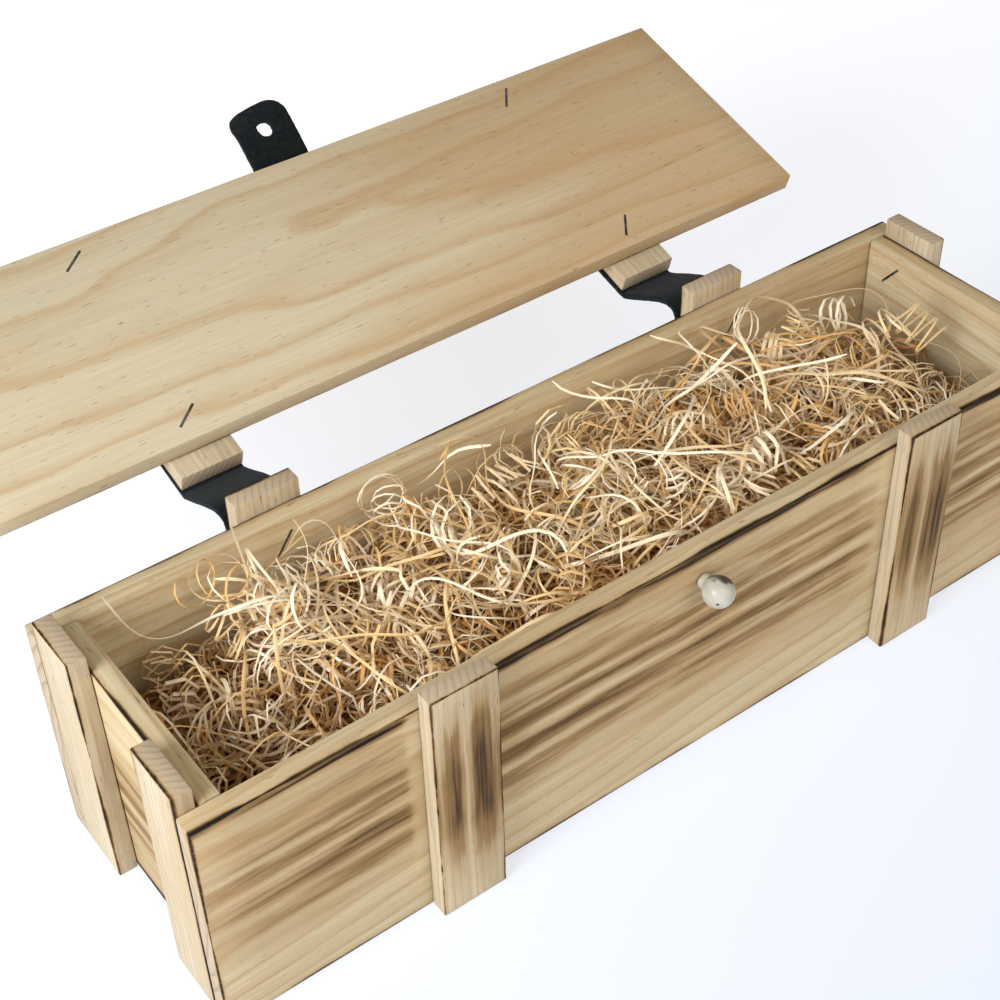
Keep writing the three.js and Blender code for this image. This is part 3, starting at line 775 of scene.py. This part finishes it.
mark_felt(closing)
root_z = (root_low.z + root_high.z) / 2
shut_fold = SWUNG_OPEN.inverted() @ fold_at
for vertex in closing.data.vertices:
    x, s = vertex.co.x, vertex.co.y
    closed = Vector((x, root_high.y - s, root_z))
    past = s - root_length
    if past > 0:
        arm = Vector((x, -past, root_z - shut_fold.z))
        turn = CURL * min(1, past / (6 * MM))
        if past > TAB_FLAT:
            side = max(0, 0.5 - 0.5 * x / HALF) ** 1.5
            full = FLAT_CORNER + (CURLED_CORNER - FLAT_CORNER) * side
            radius = (TAB_LENGTH - TAB_FLAT) / full
            bent = (past - TAB_FLAT) / radius
            arm.y = -TAB_FLAT - radius * math.sin(bent)
            arm.z += radius * (1 - math.cos(bent))
        closed = shut_fold + Matrix.Rotation(turn, 3, "X") @ arm
    vertex.co = SWUNG_OPEN @ closed
thicken_felt(closing, 17)
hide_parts("closing_strap_root", "closing_strap_tab")
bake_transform(closing)

# ---- The nest of wood wool ----
# Long thin ribbons of pine, shaved a millimetre or two wide, that curl as they dry. They are
# stuffed in as one tangle, denser below, with loose loops standing up out of it. Low down the
# ribbons are painted darker and browner as painted shade deep in the nest.
random.seed(20)
wool_low, wool_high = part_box("wood_wool")
WALL_X, WALL_Y = 0.1808, 0.0462  # half sizes of the space between the panels
WALL = (-WALL_X, WALL_X, -WALL_Y, WALL_Y)
CEILING = 95.8 * MM
# Height of the heap along the box, by shares of half its length.
TOP_SHARES = [-1, -0.72, -0.3, 0.1, 0.5, 0.8, 1]
TOP_HEIGHTS = [0.056, 0.067, 0.076, 0.078, 0.073, 0.064, 0.054]


def heap_top(x):
    return float(np.interp(x / wool_high.x, TOP_SHARES, TOP_HEIGHTS))


def wool_material():
    """Shaved pine: a tone for each ribbon, fine grain along it, and painted shade that turns it darker and
    browner low down.
    """
    material = bpy.data.materials.new("wood_wool")
    material.use_nodes = True
    tree = material.node_tree
    shader = tree.nodes["Principled BSDF"]
    tone = node(tree, "Attribute", attribute_name="wool_tone").outputs["Vector"]
    shade, along, over = node(tree, "SeparateXYZ", {0: tone}).outputs
    where = node(tree, "CombineXYZ", {0: along, 1: over, 2: sums(tree, "MULTIPLY", shade, 40)}).outputs[0]
    grain = speckle(tree, where, (60, 1400, 1), 3, 0.6)
    place = node(tree, "TexCoord").outputs["Object"]
    height = node(tree, "SeparateXYZ", {0: place}).outputs[2]
    colour = ramp(tree, shade, [(0, tint(184, 122, 56)), (0.35, tint(214, 162, 92)),
                                (0.7, tint(236, 203, 146)), (1, tint(252, 238, 206))], "LINEAR")
    colour = mixed(tree, between(tree, grain, 0.35, 0.7, 0, 0.35), colour, tint(206, 160, 104))
    # Painted shade: the ribbons turn darker and browner lower in the heap, for the shade deep in the nest.
    colour = mixed(tree, between(tree, height, 0.035, 0.082, 0.74, 0), colour, tint(160, 94, 36))
    tree.links.new(colour, shader.inputs["Base Color"])
    tree.links.new(between(tree, grain, 0.3, 0.7, 0.42, 0.6), shader.inputs["Roughness"])
    bump = node(tree, "Bump", {"Strength": 0.3, "Distance": 0.1 * MM, "Height": grain})
    tree.links.new(bump.outputs["Normal"], shader.inputs["Normal"])
    shader.inputs["Specular IOR Level"].default_value = 0.4
    return material


WOOL = wool_material()


def curl(length, rings, rise):
    """A ribbon's middle line and its width direction. Most ribbons are crinkled and wander; one
    in four is coiled like a plane shaving."""
    heading = Vector((random.gauss(0, 1), random.gauss(0, 1), random.gauss(0, rise))).normalized()
    wide = heading.orthogonal().normalized()
    wide = Matrix.Rotation(random.uniform(0, math.tau), 3, heading) @ wide
    coiled = random.random() < 0.25
    bend = random.choice((-1, 1)) * (random.uniform(90, 200) if coiled else random.triangular(0, 70, 15))
    crinkle = random.uniform(10, 40) if coiled else random.uniform(25, 95)
    drift, twist = random.gauss(0, 26), random.gauss(0, 30)
    pace, lilt = random.uniform(120, 260), random.uniform(0, math.tau)
    point, points, wides = Vector(), [], []
    step = length / (rings - 1)
    for ring in range(rings):
        points.append(point.copy())
        wides.append(wide.copy())
        s = ring * step
        local = bend + crinkle * math.sin(lilt + s * pace)
        side = drift * math.sin(lilt * 1.7 + s * 0.4 * pace)
        turn = Matrix.Rotation(local * step, 3, wide)
        turn = Matrix.Rotation(side * step, 3, heading.cross(wide)) @ turn
        turn = turn @ Matrix.Rotation(twist * step, 3, heading)
        heading = (turn @ heading).normalized()
        wide = (turn @ wide - heading * (turn @ wide).dot(heading)).normalized()
        point = point + heading * step
    return points, wides


def spread_ribbons(name, count, rings, lengths, widths, room, tone, rise=0.5, reach=WALL):
    """Many ribbons, each closed, as one piece. room(x) gives the lowest and highest places of
    their middles and the height that none may pass; reach is where those middles may lie."""
    corners, faces, tones = [], [], []
    made = tries = 0
    while made < count and tries < count * 80:
        tries += 1
        length, width = random.uniform(*lengths), random.triangular(*widths)
        points, wides = curl(length, rings, rise)
        middle = sum(points, Vector()) / rings
        x, y = random.uniform(reach[0], reach[1]), random.uniform(reach[2], reach[3])
        low, high, ceiling = room(x)
        seat = Vector((x, y, random.uniform(low, high)))
        points = [p - middle + seat for p in points]
        if not all(abs(p.x) < WALL_X and abs(p.y) < WALL_Y and 0.012 < p.z < ceiling for p in points):
            continue
        made += 1
        shade = min(1.0, max(0.0, random.gauss(tone, 0.24)))
        first = len(corners)
        for ring, (p, wide) in enumerate(zip(points, wides)):
            ahead = points[min(ring + 1, rings - 1)] - points[max(ring - 1, 0)]
            ridge = ahead.cross(wide).normalized() * 0.26 * MM
            half = width / 2 * min(1.0, 0.5 + 0.5 * min(ring, rings - 1 - ring))
            for corner, over in ((p - wide * half, -1), (p + wide * half, 1), (p + ridge, 0)):
                corners.append(corner)
                tones.append((shade, length * ring / rings, over * width / 2))
        for ring in range(rings - 1):
            at = first + 3 * ring
            for k in range(3):
                j = (k + 1) % 3
                faces.append((at + k, at + j, at + 3 + j, at + 3 + k))
        last = first + 3 * (rings - 1)
        faces.append((first + 2, first + 1, first))
        faces.append((last, last + 1, last + 2))
    mesh = bpy.data.meshes.new(name)
    mesh.from_pydata(corners, [], faces)
    layer = mesh.attributes.new("wool_tone", "FLOAT_VECTOR", "POINT")
    layer.data.foreach_set("vector", np.array(tones, np.float32).ravel())
    mesh.materials.append(WOOL)
    piece = bpy.data.objects.new(name, mesh)
    bpy.context.scene.collection.objects.link(piece)
    bpy.context.view_layer.objects.active = piece
    piece.select_set(True)
    bpy.ops.object.shade_smooth_by_angle(angle=math.radians(50))
    piece.select_set(False)
    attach(piece, "box")
    return piece


def packed_room(x):
    return heap_top(x) - 22 * MM, heap_top(x), heap_top(x) + 1 * MM


def loose_room(x):
    return heap_top(x) - 8 * MM, heap_top(x) + 13 * MM, min(CEILING, heap_top(x) + 23 * MM)


def flying_room(x):
    return 77 * MM, 97 * MM, 117 * MM


# The packed tangle takes darker ribbon tones than the loops above: partly the ribbons' own spread of tone,
# partly painted shade of the nest's depths.
for part, start in (("left", -WALL_X), ("right", 0)):
    spread_ribbons(f"wood_wool_tangle_{part}", 2050, 15, (0.025, 0.09), (0.4 * MM, 1.25 * MM, 0.65 * MM),
                   packed_room, 0.42, reach=(start, start + WALL_X, -WALL_Y, WALL_Y))
spread_ribbons("wood_wool_loops", 640, 28, (0.07, 0.2), (0.5 * MM, 1.6 * MM, 0.9 * MM), loose_room, 0.76, 0.8)
flying = spread_ribbons("wood_wool_flying", 90, 32, (0.08, 0.18), (0.5 * MM, 1.5 * MM, 0.9 * MM), flying_room,
                        0.84, 1.6, reach=(-0.15, 0.17, -0.004, 0.044))
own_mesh(flying)

# The nest's core, built in place of the imported wood wool: a lumpy mass painted dark brown
# as painted shade deep in the nest, which shows only between the ribbons.
bpy.ops.mesh.primitive_grid_add(x_subdivisions=90, y_subdivisions=24, size=1)
shade_core = bpy.context.object
shade_core.name = "wood_wool_shade_core"
shade_core.scale = (2 * wool_high.x, 2 * wool_high.y, 1)
bpy.ops.object.transform_apply(location=True, rotation=True, scale=True)
for vertex in shade_core.data.vertices:
    lump = noise.noise(vertex.co * 70) * 5 * MM + noise.noise(vertex.co * 260) * 3 * MM
    vertex.co.z = heap_top(vertex.co.x) - 15 * MM + lump
bpy.ops.object.mode_set(mode="EDIT")
bpy.ops.mesh.select_mode(type="EDGE")
bpy.ops.mesh.select_all(action="SELECT")
bpy.ops.mesh.region_to_loop()
bpy.ops.mesh.extrude_edges_move(TRANSFORM_OT_translate={"value": (0, 0, -0.01)})
shade_core_mesh = bmesh.from_edit_mesh(shade_core.data)
for vertex in shade_core_mesh.verts:
    if vertex.select:
        vertex.co.z = wool_low.z
bmesh.update_edit_mesh(shade_core.data)
bpy.ops.mesh.edge_face_add()
bpy.ops.mesh.select_all(action="SELECT")
bpy.ops.mesh.normals_make_consistent(inside=False)
bpy.ops.object.mode_set(mode="OBJECT")
bpy.ops.object.shade_smooth()
SHADE_CORE = bpy.data.materials.new("wood_wool_shade_core")
SHADE_CORE.use_nodes = True
tree = SHADE_CORE.node_tree
shader = tree.nodes["Principled BSDF"]
place = node(tree, "TexCoord").outputs["Object"]
tangle = speckle(tree, place, (300, 420, 500), 5, 0.7)
# Painted shade: dark browns that stand for the shadow between the ribbons.
colour = ramp(tree, tangle, [(0.35, tint(66, 36, 16)), (0.5, tint(134, 82, 40)),
                             (0.65, tint(180, 122, 66))], "LINEAR")
tree.links.new(colour, shader.inputs["Base Color"])
shader.inputs["Roughness"].default_value = 0.9
bump = node(tree, "Bump", {"Strength": 0.9, "Distance": 2 * MM, "Height": tangle})
tree.links.new(bump.outputs["Normal"], shader.inputs["Normal"])
shade_core.data.materials.append(SHADE_CORE)
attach(shade_core, "box")
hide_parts("wood_wool")
shade_core.select_set(False)

# ---- Studio ----
# A pale paper sweep, white far off and faintly blue close by, under a cool soft box low on the
# left and a dim one in front.
bpy.ops.mesh.primitive_plane_add(size=8, location=(0, 1, -0.0003))
floor = bpy.context.object
floor.name = "paper_sweep"
bpy.ops.object.transform_apply(location=True, rotation=True, scale=True)
paper = bpy.data.materials.new("paper_sweep")
paper.use_nodes = True
tree = paper.node_tree
shader = tree.nodes["Principled BSDF"]
place = node(tree, "TexCoord").outputs["Object"]
depth = node(tree, "SeparateXYZ", {0: place}).outputs[1]
far = node(tree, "MapRange", {"Value": depth, "From Min": -0.3, "From Max": 0.6}).outputs[0]
tree.links.new(mixed(tree, far, tint(120, 124, 134), tint(206, 206, 206)), shader.inputs["Base Color"])
tree.links.new(mixed(tree, far, tint(238, 243, 254), tint(255, 255, 255)), shader.inputs["Emission Color"])
shader.inputs["Emission Strength"].default_value = 0.69
shader.inputs["Roughness"].default_value = 0.9
floor.data.materials.append(paper)
floor.select_set(False)

world = bpy.data.worlds.new("studio")
world.use_nodes = True
tree = world.node_tree
backdrop = tree.nodes["Background"]
backdrop.inputs["Color"].default_value = tint(252, 250, 246)
seen = node(tree, "LightPath").outputs["Is Camera Ray"]
tree.links.new(sums(tree, "MAXIMUM", seen, 0.42), backdrop.inputs["Strength"])
bpy.context.scene.world = world


def soft_box(name, place, aim, size, power, colour):
    light = bpy.data.lights.new(name, "AREA")
    light.shape = "SQUARE"
    light.size = size
    light.energy = power
    light.color = colour
    stand = bpy.data.objects.new(name, light)
    stand.location = place
    stand.rotation_euler = (Vector(aim) - Vector(place)).to_track_quat("-Z", "Y").to_euler()
    bpy.context.scene.collection.objects.link(stand)


soft_box("key_left", (-1.05, -0.25, 0.62), (0, 0.02, 0.06), 0.6, 16, (0.92, 1.0, 1.13))
soft_box("fill_front", (0.35, -1.3, 0.9), (0, 0, 0.05), 1.0, 8, (1.0, 0.98, 0.93))

CAMERA_AT = (-0.31268, -0.37739, 0.50089)
AZIMUTH, ELEVATION, ROLL = math.radians(35.40), math.radians(-40.47), math.radians(-1.875)
camera_data = bpy.data.cameras.new("camera")
camera_data.lens = 64.39
camera_data.sensor_width = 36
camera = bpy.data.objects.new("camera", camera_data)
turn = Matrix.Rotation(-AZIMUTH, 4, "Z") @ Matrix.Rotation(math.pi / 2 + ELEVATION, 4, "X")
camera.matrix_world = Matrix.Translation(CAMERA_AT) @ turn @ Matrix.Rotation(ROLL, 4, "Z")
bpy.context.scene.collection.objects.link(camera)
bpy.context.scene.camera = camera
bpy.context.scene.view_settings.view_transform = "Standard"
